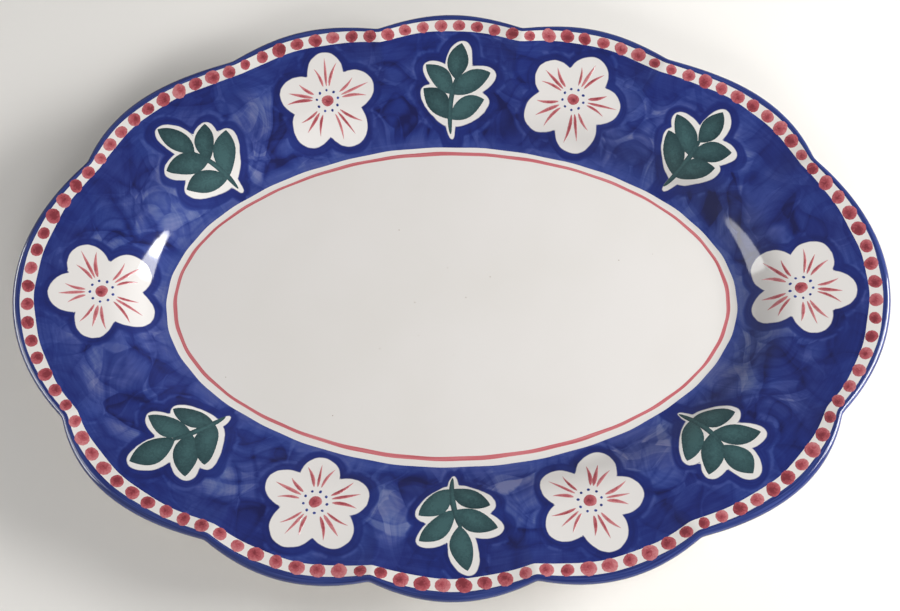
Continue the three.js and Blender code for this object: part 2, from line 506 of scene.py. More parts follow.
    @cached_property
    def back_points(self) -> list[SectionPoint]:
        """The underside, from the lip to where the foot starts."""
        wall, rim = self.wall_slope - math.pi, self.rim_slope - math.pi
        shoulder = self.under(self.shoulder_corner, self.wall_slope, self.rim_slope)
        cove = self.under(self.well_corner, 0, self.wall_slope)
        shoulder_bend = bend_points(shoulder, (rim, wall), self.shoulder_reach, self.ring_gap)
        cove_bend = bend_points(cove, (wall, -math.pi), self.cove_reach, self.ring_gap)
        straight = line_points(self.lip_points[-1].place, shoulder_bend[0].place, rim, self.ring_gap)
        return straight[:-1] + shoulder_bend + cove_bend

    def under(self, corner: Vector, slope_in: float, slope_out: float) -> Vector:
        """Finds the corner that lies one thickness under a corner of the upper side.

        Args:
            corner: the corner of the upper side.
            slope_in: the slope of the line before it.
            slope_out: the slope of the line after it.

        Returns:
            The corner of the underside.
        """
        middle = (slope_in + slope_out) / 2
        reach = self.thickness / math.cos((slope_in - slope_out) / 2)
        return corner + Vector((math.sin(middle), -math.cos(middle))) * reach

    def foot_side(self, side: int) -> list[SectionPoint]:
        """Sets out the glaze on one side of the foot, from its root to the line where it stops.

        Args:
            side: 1 for the outside of the ring and -1 for the inside.

        Returns:
            Its two points.
        """
        lean = self.foot_lean
        outwards = Vector((side * math.cos(lean), -math.sin(lean)))
        root = Vector((self.foot_radius + side * self.foot_root / 2, self.foot_height))
        tread = Vector((self.foot_radius + side * self.foot_tread / 2, 0))
        corner = root + (outwards + Vector((0, -1))) * (self.glaze / (1 + math.sin(lean)))
        line = root.lerp(tread, 1 - self.bare_foot / self.foot_height) + outwards * self.glaze
        slope = -side * (math.pi / 2 + lean)
        return [SectionPoint.at(place, slope) for place in (corner, line)]

    @cached_property
    def fields(self) -> dict[Zone, list[SectionPoint]]:
        """The outer section of each field of glaze, from the middle of the well over the lip and back."""
        gap = self.ring_gap
        wall_way, rim_way = self.wall_slope, self.rim_slope
        cove = bend_points(self.well_corner, (0, wall_way), self.cove_reach, gap)
        shoulder = bend_points(self.shoulder_corner, (wall_way, rim_way), self.shoulder_reach, gap)
        crown = self.lip_points[0].place
        floor = line_points(Vector((0, self.floor_height)), cove[0].place, 0, self.floor_gap)
        wall = line_points(cove[-1].place, shoulder[0].place, wall_way, gap)
        rim = line_points(shoulder[-1].place, crown, rim_way, gap)
        upper = floor[:-1] + cove[:-1] + wall[:-1] + shoulder[:-1] + rim
        line = self.line_outside - self.line_width
        border = self.half_length - self.border_width
        lip = crown.x - self.lip_overlap
        inside = self.foot_side(-1)
        base = SectionPoint(0, self.foot_height - self.glaze, -math.pi)
        return {
            Zone.WELL: stretch(upper, 0, line),
            Zone.LINE: stretch(upper, line, self.line_outside),
            Zone.MARGIN: stretch(upper, self.line_outside, self.well_half_length),
            Zone.GROUND: stretch(upper, self.well_half_length, border),
            Zone.BORDER: stretch(upper, border, lip),
            Zone.LIP: stretch(upper, lip, crown.x)[:-1] + self.lip_points,
            Zone.BACK: self.back_points + self.foot_side(1),
            Zone.BASE: [inside[1], inside[0], base],
        }

    def turned(self, loop: Sequence[SectionPoint]) -> BMesh:
        """Spins a closed section through one lobe, copies that round, and presses it to the lobed oval.

        Args:
            loop: the section's corners in order; an end on the axis needs no closing edge.

        Returns:
            A closed mesh with its distance from the well in a vertex layer.
        """
        mesh = bmesh.new()
        across = mesh.verts.layers.float.new(ACROSS)
        corners = [mesh.verts.new((point.radius, 0, point.height)) for point in loop]
        sides = [
            mesh.edges.new((start, end))
            for start, end in zip(corners, corners[1:] + corners[:1])
            if start.co.x > 0 or end.co.x > 0
        ]
        lobes = len(self.notches)
        steps = lobes * self.steps_per_lobe
        about = {"cent": (0, 0, 0), "axis": (0, 0, 1)}
        lobe_turn = math.tau / lobes
        bmesh.ops.spin(mesh, geom=corners + sides, angle=lobe_turn, steps=self.steps_per_lobe, **about)
        lobe = mesh.verts[:] + mesh.edges[:] + mesh.faces[:]
        round_turn = math.tau - lobe_turn
        bmesh.ops.spin(mesh, geom=lobe, angle=round_turn, steps=lobes - 1, use_duplicate=True, **about)
        bmesh.ops.remove_doubles(mesh, verts=mesh.verts, dist=WELD)
        bmesh.ops.recalc_face_normals(mesh, faces=mesh.faces)
        places = np.array([vert.co for vert in mesh.verts])
        radius = np.hypot(places[:, 0], places[:, 1])
        turns = np.arctan2(places[:, 1], places[:, 0]) / math.tau
        ring = self.meridians.picked(np.rint(turns * steps).astype(int) % steps)
        section = np.stack((radius, places[:, 2]))
        for edge in self.painted_edges:
            section = section + edge.shift(self.fields[edge.zone][0], radius, ring.angle)
        distances = (radius - self.well_half_length) / MM
        for vert, place, distance in zip(mesh.verts, self.press(*section, ring), distances):
            vert.co = place
            vert[across] = distance
        return mesh


@dataclass(frozen=True)
class BrushMark:
    """One touch of the brush: where it lies in the plan, its size and its bow, in metres."""

    centre: Vector
    length: float
    width: float
    turn: float = 0.0
    bow: float = 0.0  # how far the middle leaves the line between the ends, as a share of the length
    point: float = 0.0  # 0 for round ends, 1 for pointed ones
    taper: float = 0.0  # how much narrower the far end is
    shade: float = 0.5

    def grown(self, margin: float, shift: Vector) -> BrushMark:
        """Returns the mark with a margin round it, moved by a shift."""
        length, width = self.length + 2 * margin, self.width + 2 * margin
        return BrushMark(self.centre + shift, length, width, self.turn, self.bow)

    def place(self, along: float, across: float) -> Vector:
        """Finds the plan point of the mark's own coordinates.

        Args:
            along: from -1 at its start to 1 at its far end.
            across: from -1 at one side to 1 at the other.

        Returns:
            The point, in metres.
        """
        inside = 1 - along * along
        pinch = max(inside, 0.0) ** (self.point / 2) * (1 - self.taper * (along + 1) / 2)
        sideways = across * pinch * self.width / 2 + self.bow * self.length * inside
        return self.centre + Matrix.Rotation(self.turn, 2) @ Vector((along * self.length / 2, sideways))

    def distance(self, points: np.ndarray) -> np.ndarray:
        """Measures about how far plan points lie outside the mark's oval.

        Args:
            points: one row for each point.

        Returns:
            Distances in metres, negative inside.
        """
        cosine, sine = math.cos(self.turn), math.sin(self.turn)
        local = (points - np.array(self.centre)) @ np.array([[cosine, -sine], [sine, cosine]])
        half = np.array([self.length, self.width]) / 2
        local[:, 1] -= self.bow * self.length * np.clip(1 - (local[:, 0] / half[0]) ** 2, -1, 1)
        reach = np.linalg.norm(local / half, axis=1)
        slope = np.maximum(np.linalg.norm(local / half**2, axis=1), MM)
        return reach * (reach - 1) / slope


@dataclass
class Blossom:
    """A five-petalled blossom left white in the blue, with red veins and a red eye in a ring of specks."""

    centre: Vector
    turn: float
    luck: random.Random
    petals: int = 5
    petal_length: float = 28 * MM
    petal_width: float = 24 * MM
    petal_reach: float = 16.5 * MM
    petal_sway: float = math.radians(4)
    reach_luck: Range = (0.95, 1.05)  # the shares between which a petal's reach falls
    length_luck: Range = (0.94, 1.08)
    width_luck: Range = (0.92, 1.06)
    vein_spread: float = math.radians(17)
    vein_turn: float = math.radians(6)  # how much further than its place an outer vein turns
    vein_start: float = 9 * MM
    vein_length: float = 14 * MM
    vein_width: float = 2.8 * MM
    middle_vein: float = 1.2  # how many times longer the middle one of three is
    vein_bow: float = 0.06
    vein_point: float = 0.4
    vein_taper: float = 0.65
    vein_spread_luck: Range = (0.85, 1.15)
    vein_length_luck: Range = (0.8, 1.15)
    vein_width_luck: Range = (0.8, 1.2)
    vein_shades: Range = (-0.7, 0.2)
    eye: float = 7.5 * MM
    eye_roundness: float = 0.92
    eye_shade: float = 0.4
    specks: int = 9
    speck_reach: float = 6.6 * MM
    speck: float = 1.7 * MM
    speck_luck: Range = (0.85, 1.25)

    @cached_property
    def petal_turns(self) -> list[float]:
        """The way each petal points, a little uneven."""
        steps = [self.turn + math.tau * i / self.petals for i in range(self.petals)]
        return [step + self.luck.uniform(-self.petal_sway, self.petal_sway) for step in steps]

    def reserve(self) -> list[BrushMark]:
        """Sets out the shapes left white.

        Returns:
            The petals and the round middle.
        """
        petals = [
            BrushMark(
                self.centre + polar(self.petal_reach * self.luck.uniform(*self.reach_luck), turn),
                self.petal_length * self.luck.uniform(*self.length_luck),
                self.petal_width * self.luck.uniform(*self.width_luck),
                turn,
            )
            for turn in self.petal_turns
        ]
        return petals + [BrushMark(self.centre, self.eye * 2, self.eye * 2)]

    def veins(self) -> list[BrushMark]:
        """Sets out the red strokes in the petals.

        Returns:
            Three strokes for each petal.
        """
        strokes = []
        for turn in self.petal_turns:
            for side in (-1, 0, 1):
                way = turn + side * self.vein_spread * self.luck.uniform(*self.vein_spread_luck)
                length = self.vein_length * self.luck.uniform(*self.vein_length_luck)
                length *= 1 if side else self.middle_vein
                strokes.append(
                    BrushMark(
                        self.centre + polar(self.vein_start + length / 2, way),
                        length,
                        self.vein_width * self.luck.uniform(*self.vein_width_luck),
                        way + side * self.vein_turn,
                        bow=-side * self.vein_bow,
                        point=self.vein_point,
                        taper=self.vein_taper,
                        shade=self.luck.uniform(*self.vein_shades),
                    )
                )
        return strokes

    def eye_mark(self) -> BrushMark:
        """Returns the red dab in the middle."""
        turn = self.luck.uniform(0, math.pi)
        return BrushMark(self.centre, self.eye, self.eye * self.eye_roundness, turn, shade=self.eye_shade)

    def speck_marks(self) -> list[BrushMark]:
        """Sets out the ring of blue specks.

        Returns:
            The specks, evenly spaced.
        """
        return [
            BrushMark(
                self.centre + polar(self.speck_reach, self.turn + math.tau * i / self.specks),
                self.speck * self.luck.uniform(*self.speck_luck),
                self.speck,
                self.luck.uniform(0, math.pi),
                shade=self.luck.random(),
            )
            for i in range(self.specks)
        ]


@dataclass
class Sprig:
    """A green sprig of five pointed leaves on a bowed stem, with a white margin that slips to one side."""

    root: Vector
    turn: float
    hand: int
    luck: random.Random
    stem_length: float = 36 * MM
    stem_width: float = 4 * MM
    stem_bow: float = 0.07
    stem_taper: float = 0.3
    stem_shade: float = 0.45
    leaf_length: float = 25 * MM
    leaf_width: float = 13 * MM
    leaf_lean: float = math.radians(52)
    leaf_places: tuple[float, ...] = (0.22, 0.6)  # where pairs of leaves start, as shares of the stem
    tip_place: float = 0.86
    leaf_bow: float = 0.06
    tip_bow: float = 0.04
    leaf_point: float = 0.75
    lean_luck: Range = (0.9, 1.1)  # the shares between which a leaf's lean falls
    length_luck: Range = (0.92, 1.1)
    width_luck: Range = (0.9, 1.1)
    margin: float = 2.0 * MM
    slip: Vector = field(default_factory=lambda: Vector((1.0, -0.8)) * MM)

    @cached_property
    def stem(self) -> BrushMark:
        """The stem, from the well side out."""
        return BrushMark(
            self.root + polar(self.stem_length / 2, self.turn),
            self.stem_length,
            self.stem_width,
            self.turn,
            bow=self.stem_bow * self.hand,
            taper=self.stem_taper,
            shade=self.stem_shade,
        )

    @cached_property
    def leaves(self) -> list[BrushMark]:
        """The leaf at the tip and the leaves along the stem."""
        starts = [(self.tip_place, 0.0)]
        starts += [(place, side * self.leaf_lean) for place in self.leaf_places for side in (-1, 1)]
        leaves = []
        for place, lean in starts:
            way = self.turn + lean * self.luck.uniform(*self.lean_luck)
            length = self.leaf_length * self.luck.uniform(*self.length_luck)
            foot = self.stem.place(place * 2 - 1, 0)
            leaves.append(
                BrushMark(
                    foot + polar(length / 2, way),
                    length,
                    self.leaf_width * self.luck.uniform(*self.width_luck),
                    way,
                    bow=-self.leaf_bow * math.copysign(1, lean) if lean else self.tip_bow * self.hand,
                    point=self.leaf_point,
                    shade=self.luck.random(),
                )
            )
        return leaves

    def reserve(self) -> list[BrushMark]:
        """Returns the shapes left white under the green."""
        return [mark.grown(self.margin, self.slip) for mark in (self.stem, *self.leaves)]


@dataclass(frozen=True)
class Gloss:
    """How a fired surface shines, and how uneven it is."""

    roughness: float
    grain: float  # size of the finest unevenness, in metres
    relief: float  # how deep that unevenness is, in metres
    ior: float
    spread: Range = (0.8, 1.25)  # the shares between which the roughness varies


@dataclass(frozen=True)
class Finish:
    """A fired surface: what it is and how it was made, and its gloss."""

    name: str
    gloss: Gloss

    def colour(self, tree: Tree, place: Socket) -> Socket:
        """Adds the nodes for the colour; each finish has its own.

        Args:
            tree: the material's nodes.
            place: Object coordinates.

        Returns:
            The colour.
        """
        raise NotImplementedError

    def make(self) -> Material:
        """Builds the material.

        Returns:
            A material with the finish's colour, gloss and unevenness.
        """
        material = bpy.data.materials.new(self.name)
        material.use_nodes = True
        tree = material.node_tree
        place = add_node(tree, "TexCoord", out="Object")
        grain = add_node(tree, "TexNoise", {"Vector": place, "Scale": 1 / self.gloss.grain, "Detail": 2.0})
        low, high = (self.gloss.roughness * share for share in self.gloss.spread)
        looks = {
            "Base Color": self.colour(tree, place),
            "Roughness": add_node(tree, "MapRange", {"Value": grain, "To Min": low, "To Max": high}),
            "Normal": add_node(tree, "Bump", {"Height": grain, "Distance": self.gloss.relief}),
        }
        shader = tree.nodes["Principled BSDF"]
        shader.inputs["IOR"].default_value = self.gloss.ior
        for name, socket in looks.items():
            tree.links.new(socket, shader.inputs[name])
        return material


@dataclass(frozen=True)
class WhiteGlaze(Finish):
    """Opaque tin glaze, dipped: glassy and a little clouded, with a few kiln specks."""

    clouds: Stops = ((0.35, "#E0DCD7"), (0.65, "#E3DFDB"))
    cloud_size: float = 70 * MM
    speck: str = "#9C8A76"
    speck_gap: float = 14 * MM
    speck_size: float = 0.4 * MM

    def colour(self, tree: Tree, place: Socket) -> Socket:
        """Adds clouds and specks.

        Args:
            tree: the material's nodes.
            place: Object coordinates.

        Returns:
            The colour.
        """
        cloud = add_node(tree, "TexNoise", {"Vector": place, "Scale": 1 / self.cloud_size, "Detail": 3.0})
        glaze = add_node(tree, "ValToRGB", {"Fac": cloud}, stops=linear_stops(self.clouds))
        away = add_node(tree, "TexVoronoi", {"Vector": place, "Scale": 1 / self.speck_gap})
        radius = self.speck_size / self.speck_gap
        speck = add_node(tree, "MapRange", {"Value": away, "From Min": radius, "From Max": radius / 2})
        mixed = {MIX_FACTOR: speck, MIX_A: glaze, MIX_B: linear(self.speck)}
        return add_node(tree, "Mix", mixed, MIX_RESULT, data_type="RGBA")


@dataclass(frozen=True)
class BrushedPaint(Finish):
    """Underglaze colour drawn on with a loaded brush, whose hairs leave streaks along the stroke."""

    hair: float  # width of a streak, in metres
    stroke: float  # length of a streak, in metres

    def streaks_along(self, tree: Tree, place: Socket, distance: Socket) -> Socket:
        """Adds streaks that keep an even distance from an edge.

        Args:
            tree: the material's nodes.
            place: Object coordinates.
            distance: how far a point lies from the edge, in millimetres.

        Returns:
            How thin the colour is, from 0 to 1.
        """
        hairs = add_node(tree, "Math", {0: distance, 1: MM / self.hair}, operation="MULTIPLY")
        sideways = add_node(tree, "CombineXYZ", {"Z": hairs})
        drawn = {0: place, 1: (1 / self.stroke,) * 3, 2: sideways}
        streak = add_node(tree, "VectorMath", drawn, operation="MULTIPLY_ADD")
        return add_node(tree, "TexNoise", {"Vector": streak, "Scale": 1.0, "Detail": 3.0})


@dataclass(frozen=True, kw_only=True)
class BandPaint(BrushedPaint):
    """Underglaze colour laid on as the platter turned: streaks run along the band."""

    tones: tuple[str, str, str]  # where it is dense, even and thin
    places: tuple[float, float, float] = (0.3, 0.5, 0.72)  # how thin the colour is at each tone
    hair: float = 0.7 * MM
    stroke: float = 30 * MM

    def colour(self, tree: Tree, place: Socket) -> Socket:
        """Adds streaks along the band.

        Args:
            tree: the material's nodes.
            place: Object coordinates.

        Returns:
            The colour.
        """
        across = add_node(tree, "Attribute", out="Fac", attribute_name=ACROSS)
        streaks = self.streaks_along(tree, place, across)
        stops = linear_stops(zip(self.places, self.tones))
        return add_node(tree, "ValToRGB", {"Fac": streaks}, stops=stops)


@dataclass(frozen=True)
class MarkPaint(Finish):
    """Underglaze colour set down in single touches: each has its own density, a core and an edge."""

    tones: tuple[str, str, str]  # at the core, between and at the edge
    places: tuple[float, float, float] = (0.25, 0.55, 0.95)  # how far from the core each tone lies
    mottle: float = 2.4 * MM
    core_place: tuple[float, float, float] = (0.42, 0.58, 0.0)  # in the mark's own map
    unevenness: float = 0.8
    density: float = 0.36  # how much nearer to the core's tone a full touch is

    def colour(self, tree: Tree, place: Socket) -> Socket:
        """Adds the run from the core to the edge.

        Args:
            tree: the material's nodes.
            place: Object coordinates.

        Returns:
            The colour.
        """
        own_map = add_node(tree, "UVMap", uv_map=MARK_MAP)
        core = {0: own_map, 1: self.core_place}
        away = add_node(tree, "VectorMath", core, out="Value", operation="DISTANCE")
        mottled = {"Vector": place, "Scale": 1 / self.mottle, "Detail": 3.0, "Distortion": 1.5}
        noise = add_node(tree, "TexNoise", mottled)
        uneven = {0: noise, 1: self.unevenness, 2: away}
        thinness = add_node(tree, "Math", uneven, operation="MULTIPLY_ADD")
        shade = add_node(tree, "Attribute", out="Fac", attribute_name=SHADE)
        shaded = {0: shade, 1: -self.density, 2: thinness}
        tone = add_node(tree, "Math", shaded, operation="MULTIPLY_ADD")
        stops = linear_stops(zip(self.places, self.tones))
        return add_node(tree, "ValToRGB", {"Fac": tone}, stops=stops)


@dataclass(frozen=True)
class Band:
    """A stroke drawn along an edge."""

    layer: str  # the vertex layer that holds the distance from the edge
    ends_mm: float  # where it has died away
    starts_mm: float  # where it is full
    thinness: float  # over 0 thinner than the ground's mean, under 0 denser
    strength: float
    gaps: float = 0.0  # over 0.4 the stroke is broken, the more the higher


@dataclass(frozen=True)
class StrokeLayer:
    """Brush strokes that run about one way: their size, and how far they sway the ground's density."""

    way: float
    width: float
    length: float
    weight: float


@dataclass(frozen=True)
class BlueGround(BrushedPaint):
    """Cobalt brushed over the white glaze: broad strokes over each other, surer ones along every edge."""

    hair: float = 1.6 * MM
    stroke: float = 30 * MM
    white: str = "#E3DFDB"
    tones: Stops = (
        (0.15, "#111650"),
        (0.36, "#1B2870"),
        (0.5, "#27377E"),
        (0.63, "#3A488D"),
        (0.76, "#545F98"),
        (0.92, "#7378A6"),
    )
    tints: Stops = ((0.4, "#F4FFFF"), (0.6, "#FFFBF8"))
    layers: tuple[StrokeLayer, ...] = (
        StrokeLayer(0.35, 26 * MM, 40 * MM, 0.38),
        StrokeLayer(1.5, 19 * MM, 34 * MM, 0.3),
        StrokeLayer(2.6, 12 * MM, 28 * MM, 0.2),
    )
    mean: float = 0.38  # thinness that the layers sway about
    seam: float = 0.2  # width of the dense sides of a stroke, as a share of it
    pooling: float = 0.5  # how much denser the sides are
    softness: float = 0.06
    gap_start: float = 0.66  # how far from the middle of a stroke a bare gap starts, as a share of it
    gap_full: float = 0.71
    gap: float = 0.5  # how much thinner the ground is in a gap
    streaks: float = 0.36
    bend: float = 42 * MM
    fray: float = 9 * MM
    cloud: float = 30 * MM
    sway_mm: float = 1.4
    slow_sway_mm: float = 9.0
    break_softness: float = 0.1
    figure_edge_mm: float = 0.25  # half the width over which the blue gives way to a white figure
    bands: tuple[Band, ...] = (
        Band(ACROSS, 44.0, 64.0, -0.16, 0.6),
        Band(ACROSS, 10.0, 1.0, 0.18, 0.7),
        Band(RESERVE, 7.6, 5.6, 0.2, 0.6, 0.48),
        Band(RESERVE, 5.4, 3.6, -0.22, 0.75),
    )

    @property
    def wash(self) -> float:
        """Thinness of the first wash, under strokes that bring it to the mean."""
        return self.mean - sum(layer.weight for layer in self.layers) / 2

    def lay_strokes(self, tree: Tree, place: Socket, layer: StrokeLayer, under: Socket | float) -> Socket:
        """Adds a layer of strokes, each with its own density, streaks along it and denser sides.

        Args:
            tree: the material's nodes.
            place: Object coordinates.
            layer: which way the strokes run, their size and their weight.
            under: the thinness of the layers under this one.

        Returns:
            The thinness with this layer.
        """
        flat = {"voronoi_dimensions": "2D"}
        aim = {"Vector": place, "Angle": layer.way}
        turned = add_node(tree, "VectorRotate", aim, rotation_type="Z_AXIS")
        slow = {"Vector": turned, "Scale": 1 / self.bend, "Detail": 1.0}
        pull = add_node(tree, "TexNoise", slow, out="Color", noise_dimensions="2D")
        bent = {0: pull, 1: (self.bend,) * 3, 2: turned}
        curved = add_node(tree, "VectorMath", bent, operation="MULTIPLY_ADD")
        size = {0: curved, 1: (1 / layer.length, 1 / layer.width, 0.0)}
        laid = {"Vector": add_node(tree, "VectorMath", size, operation="MULTIPLY"), "Scale": 1.0}
        soft = {**laid, "Smoothness": self.softness}
        away = add_node(tree, "TexVoronoi", soft, out="Distance", feature="SMOOTH_F1", **flat)
        density = add_node(tree, "SeparateColor", {0: away.node.outputs["Color"]})
        side = add_node(tree, "TexVoronoi", laid, feature="DISTANCE_TO_EDGE", **flat)
        half = self.pooling / 2
        pooled = {"Value": side, "From Max": self.seam, "To Min": -half, "To Max": half}
        pool = add_node(tree, "MapRange", pooled, interpolation_type="SMOOTHSTEP")
        missed = {
            "Value": away,
            "From Min": self.gap_start,
            "From Max": self.gap_full,
            "To Min": pool,
            "To Max": self.gap,
        }
        left = add_node(tree, "MapRange", missed, interpolation_type="SMOOTHSTEP")
        fine = {0: curved, 1: (1 / layer.length, 1 / self.hair, 0.0)}
        drawn = {"Vector": add_node(tree, "VectorMath", fine, operation="MULTIPLY"), "Scale": 1.0}
        hairs = add_node(tree, "TexNoise", {**drawn, "Detail": 2.0}, noise_dimensions="2D")
        spread = {0: hairs, 1: 2 * self.streaks, 2: 1 - self.streaks}
        streaked = add_node(tree, "Math", spread, operation="MULTIPLY_ADD")
        heaped = add_node(tree, "Math", {0: density, 1: streaked, 2: left}, operation="MULTIPLY_ADD")
        weighed = {0: heaped, 1: layer.weight, 2: under}
        return add_node(tree, "Math", weighed, operation="MULTIPLY_ADD")

    def lay_band(
        self, tree: Tree, place: Socket, band: Band, drift: Socket, breaks: Socket, under: Socket
    ) -> Socket:
        """Adds a stroke drawn along an edge.

        Args:
            tree: the material's nodes.
            place: Object coordinates.
            band: the stroke.
            drift: how far a stroke round a figure strays, in millimetres.
            breaks: the noise that breaks the stroke.
            under: the thinness of the ground under it.

        Returns:
            The thinness with this stroke.
        """
        distance = add_node(tree, "Attribute", out="Fac", attribute_name=band.layer)
        followed = distance
        if band.layer == RESERVE:
            followed = add_node(tree, "Math", {0: distance, 1: drift}, operation="ADD")
        reach = {
            "Value": followed,
            "From Min": band.ends_mm,
            "From Max": band.starts_mm,
            "To Max": band.strength,
        }
        mask = add_node(tree, "MapRange", reach, interpolation_type="SMOOTHSTEP")
        broken = {
            "Value": breaks,
            "From Min": band.gaps,
            "From Max": band.gaps + self.break_softness,
            "To Max": mask,
        }
        share = add_node(tree, "MapRange", broken)
        mean = (1 - self.streaks) / 2 + band.thinness
        streaked = {0: self.streaks_along(tree, place, distance), 1: self.streaks, 2: mean}
        thinness = add_node(tree, "Math", streaked, operation="MULTIPLY_ADD")
        laid = {MIX_FACTOR: share, MIX_VALUE_A: under, MIX_VALUE_B: thinness}
        return add_node(tree, "Mix", laid, data_type="FLOAT")

    def colour(self, tree: Tree, place: Socket) -> Socket:
        """Adds the strokes, the bands along the edges and the white figures.

        Args:
            tree: the material's nodes.
            place: Object coordinates.

        Returns:
            The colour.
        """
        cloud, fray = (
            add_node(tree, "TexNoise", {"Vector": place, "Scale": 1 / size, "Detail": 2.0})
            for size in (self.cloud, self.fray)
        )
        drift, sway = (
            add_node(tree, "Math", {0: noise, 1: most, 2: -most / 2}, operation="MULTIPLY_ADD")
            for noise, most in ((cloud, self.slow_sway_mm), (fray, self.sway_mm))
        )
        tone = self.wash
        for layer in self.layers:
            tone = self.lay_strokes(tree, place, layer, tone)
        for band in self.bands:
            tone = self.lay_band(tree, place, band, drift, fray, tone)
        shades = add_node(tree, "ValToRGB", {"Fac": tone}, stops=linear_stops(self.tones))
        tints = add_node(tree, "ValToRGB", {"Fac": cloud}, stops=linear_stops(self.tints))
        tinted = {MIX_FACTOR: 1.0, MIX_A: shades, MIX_B: tints}
        ground = add_node(tree, "Mix", tinted, MIX_RESULT, data_type="RGBA", blend_type="MULTIPLY")

        reserve = add_node(tree, "Attribute", out="Fac", attribute_name=RESERVE)
        edge = add_node(tree, "Math", {0: reserve, 1: sway}, operation="ADD")
        soft = self.figure_edge_mm
        figures = add_node(tree, "MapRange", {"Value": edge, "From Min": soft, "From Max": -soft})
        mixed = {MIX_FACTOR: figures, MIX_A: ground, MIX_B: linear(self.white)}
        return add_node(tree, "Mix", mixed, MIX_RESULT, data_type="RGBA")


@dataclass(frozen=True)
class BareClay(Finish):
    """Biscuit-fired earthenware, wiped clean: matt, grainy and a little stained."""

    stains: Stops = ((0.3, "#B3825F"), (0.7, "#CFA583"))
    stain_size: float = 9 * MM

    def colour(self, tree: Tree, place: Socket) -> Socket:
        """Adds stains.

        Args:
            tree: the material's nodes.
            place: Object coordinates.

        Returns:
            The colour.
        """
        stain = add_node(tree, "TexNoise", {"Vector": place, "Scale": 1 / self.stain_size, "Detail": 6.0})
        return add_node(tree, "ValToRGB", {"Fac": stain}, stops=linear_stops(self.stains))


@dataclass(frozen=True)
class FloorPaper(Finish):
    """Matt white paper sweep, smooth and even."""

    clouds: Stops = ((0.3, "#EEEBE6"), (0.7, "#F0EDE8"))
    cloud_size: float = 1.0

    def colour(self, tree: Tree, place: Socket) -> Socket:
        """Adds the paper's faint cloud.

        Args:
            tree: the material's nodes.
            place: Object coordinates.

        Returns:
            The colour.
        """
        cloud = add_node(tree, "TexNoise", {"Vector": place, "Scale": 1 / self.cloud_size})
        return add_node(tree, "ValToRGB", {"Fac": cloud}, stops=linear_stops(self.clouds))


class Palette:
    """The materials of the platter and its stage, each made once."""

    def __init__(self) -> None:
        """Makes every material."""
        glassy = Gloss(roughness=0.08, grain=2.6 * MM, relief=0.012 * MM, ior=1.58)
        grainy = Gloss(roughness=0.85, grain=0.5 * MM, relief=0.05 * MM, ior=1.5)
        matt = Gloss(roughness=0.9, grain=1.0 * MM, relief=0.0, ior=1.5)
        self.white = WhiteGlaze("tin_glaze_dipped", glassy).make()
        self.ground = BlueGround("cobalt_ground_brushed", glassy).make()
        line = ("#B4585F", "#C56A70", "#CE8286")
        lip = ("#1A2260", "#263673", "#3A4886")
        self.line = BandPaint("iron_red_line_brushed", glassy, tones=line).make()
        self.lip = BandPaint("cobalt_lip_brushed", glassy, tones=lip).make()
        self.red = MarkPaint("iron_red_dabbed", glassy, ("#7E3039", "#AB5058", "#C97F82")).make()
        self.blue = MarkPaint("cobalt_dotted", glassy, ("#1F2B6B", "#2F4088", "#5C67AC")).make()
        self.green = MarkPaint("copper_green_brushed", glassy, ("#3D5E60", "#324F52", "#233B3F")).make()
        self.clay = BareClay("earthenware_biscuit_fired", grainy).make()
        self.floor = FloorPaper("paper_matt", matt).make()


def add_piece(
    mesh: BMesh,
    name: str,
    material: Material,
    nodes: Sequence[str] = (),
    crease: float = CREASE,
) -> None:
    """Turns a mesh to a piece that rides on the platter.

    Args:
        mesh: the finished mesh, which is freed.
        name: the piece's name.
        material: its finish.
        nodes: the solids that it stands for.
        crease: the angle from which an edge is sharp.
    """
    for face in mesh.faces:
        face.smooth = True
    for edge in mesh.edges:
        edge.smooth = edge.is_manifold and edge.calc_face_angle() < crease
    data = bpy.data.meshes.new(name)
    mesh.to_mesh(data)
    mesh.free()
    data.materials.append(material)
    piece = bpy.data.objects.new(name, data)
    bpy.context.scene.collection.objects.link(piece)
    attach(piece, BODY)
    if nodes:
        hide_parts(*nodes)
    LOG.info("%s: %d faces", name, len(data.polygons))


@dataclass
class ClayBody:
    """The pressed dish and the foot ring luted under it."""

    form: PlatterForm
    palette: Palette
    hidden_rings: int = 4  # the dish is glazed all over, so every fourth ring is enough

    def build_dish(self) -> None:
        """Adds the dish, which fills the space inside the glaze."""
        upper = (Zone.WELL, Zone.LINE, Zone.MARGIN, Zone.GROUND, Zone.BORDER, Zone.LIP)
        outer = []
        for zone in upper:
            outer += thinned(self.form.fields[zone], self.hidden_rings)[:-1]
        outer += thinned(self.form.back_points, self.hidden_rings)
        loop = [point.sunk(self.form.glaze) for point in outer]
        loop.append(SectionPoint(0, self.form.foot_height, -math.pi))
        add_piece(self.form.turned(loop), "clay_dish", self.palette.clay, ["clay_body"])

    def build_foot(self) -> None:
        """Adds the foot ring, with the corners of its tread worn round."""
        form = self.form
        ways = (-math.pi / 2 - form.foot_lean, -math.pi, -1.5 * math.pi + form.foot_lean)
        loop = [SectionPoint(form.foot_radius + form.foot_root / 2, form.foot_height, ways[0])]
        for side, bend in ((1, ways[:2]), (-1, ways[1:])):
            corner = Vector((form.foot_radius + side * form.foot_tread / 2, 0))
            loop += bend_points(corner, bend, form.tread_rounding, form.tread_rounding / 2)
        loop.append(SectionPoint(form.foot_radius - form.foot_root / 2, form.foot_height, ways[2]))
        add_piece(form.turned(loop), "foot_tread_ring", self.palette.clay, ["foot_ring"])

    def build(self) -> None:
        """Adds both pieces."""
        self.build_dish()
        self.build_foot()


